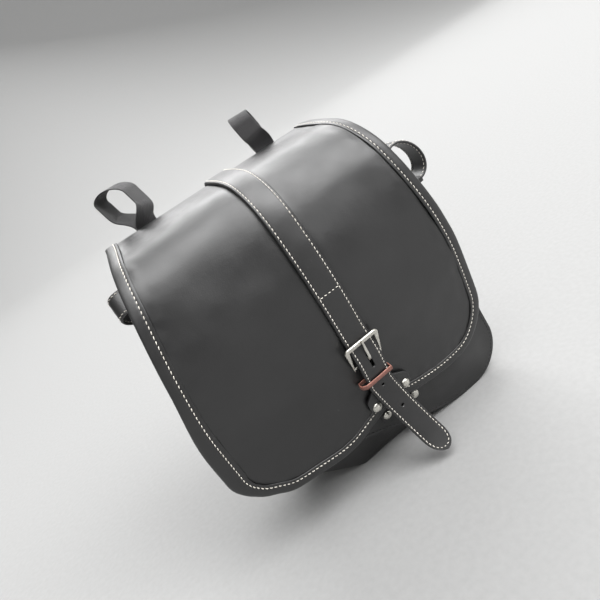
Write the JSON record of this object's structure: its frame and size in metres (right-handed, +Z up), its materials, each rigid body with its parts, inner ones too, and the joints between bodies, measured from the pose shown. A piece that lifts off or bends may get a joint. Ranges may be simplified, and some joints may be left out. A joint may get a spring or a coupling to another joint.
{
  "type": "motorcycle saddlebag",
  "caption": "Black leather motorcycle saddlebag with a deep rounded flap, a buckled centre strap, webbing loops at the top and hanging leather loops at the sides",
  "frame": {"origin": "centre of the bounding box's bottom, on the ground under the bag", "axes": "+Z up, -Y the front with the flap and the buckle, +Y the flat back that lies against the motorcycle, +X to the right seen from the front"},
  "size_m": [0.3881, 0.2187, 0.4263],
  "materials": {
    "black_leather": "smooth satin black leather with cream stitching",
    "leather_lining": "matte dark lining",
    "raw_edge": "undyed cut edge of the seam strips",
    "board": "plain fibre stiffener",
    "brown_leather": "bare brown leather, worn",
    "webbing": "black woven webbing, matte",
    "nickel": "satin nickel plate"
  },
  "bodies": {
    "bag": {"back_panel": "black_leather", "back_board": "board", "back_welt": "raw_edge", "front_welt": "raw_edge", "base_board": "board", "front_panel": "black_leather", "gusset": "black_leather", "mouth_band": "leather_lining", "top_binding": "black_leather", "lock_tab": "black_leather", "lock_rivet_left": "nickel", "lock_rivet_right": "nickel", "lock_burr_left": "nickel", "lock_burr_right": "nickel", "snap_magnet": "nickel", "web_root_left": "webbing", "web_root_right": "webbing", "web_patch_left": "black_leather", "web_patch_right": "black_leather", "side_patch_left": "black_leather", "side_patch_right": "black_leather"},
    "flap": {"flap_panel": "black_leather", "flap_lining": "leather_lining", "flap_binding": "black_leather", "strap_upper": "black_leather", "strap_tail": "black_leather", "chape": "black_leather", "flap_rivet_left": "nickel", "flap_rivet_right": "nickel", "flap_burr_left": "nickel", "flap_burr_right": "nickel", "snap_plate": "nickel"},
    "buckle": {"buckle_frame": "nickel"},
    "prong": {"buckle_prong": "nickel"},
    "keeper": {"keeper": "brown_leather"},
    "web_loop_left": {"web_loop_left": "webbing"},
    "web_loop_right": {"web_loop_right": "webbing"},
    "side_loop_left": {"side_loop_left": "black_leather"},
    "side_loop_right": {"side_loop_right": "black_leather", "loop_keeper": "black_leather"}
  },
  "joints": [
    {"name": "flap_hinge", "type": "hinge", "parent": "bag", "child": "flap", "pos_m": [-0.0155, 0.0533, 0.372], "axis": [-1, 0, 0], "range_deg": [0, 70]},
    {"name": "buckle_hinge", "type": "hinge", "parent": "flap", "child": "buckle", "pos_m": [-0.006, -0.08577, 0.1526], "axis": [1, 0, 0], "range_deg": [0, 30]},
    {"name": "prong_hinge", "type": "hinge", "parent": "buckle", "child": "prong", "pos_m": [-0.006, -0.08577, 0.1526], "axis": [1, 0, 0], "range_deg": [0, 35]},
    {"name": "keeper_slide", "type": "slide", "parent": "flap", "child": "keeper", "axis": [0, -0.1857, 0.9826], "range_m": [-0.006, 0.006]},
    {"name": "web_loop_left_hinge", "type": "hinge", "parent": "bag", "child": "web_loop_left", "pos_m": [-0.0985, 0.0642, 0.368], "axis": [-1, 0, 0], "range_deg": [-6, 35], "stiffness_Nm_per_rad": 0.05},
    {"name": "web_loop_right_hinge", "type": "hinge", "parent": "bag", "child": "web_loop_right", "pos_m": [0.068, 0.0642, 0.368], "axis": [-1, 0, 0], "range_deg": [-6, 35], "stiffness_Nm_per_rad": 0.05},
    {"name": "side_loop_left_hinge", "type": "hinge", "parent": "bag", "child": "side_loop_left", "pos_m": [-0.15283, 0.0228, 0.3165], "axis": [0, 1, 0], "range_deg": [-15, 15], "stiffness_Nm_per_rad": 0.08},
    {"name": "side_loop_right_hinge", "type": "hinge", "parent": "bag", "child": "side_loop_right", "pos_m": [0.12384, -0.0192, 0.289], "axis": [0, -1, 0], "range_deg": [-15, 15], "stiffness_Nm_per_rad": 0.15}
  ]
}
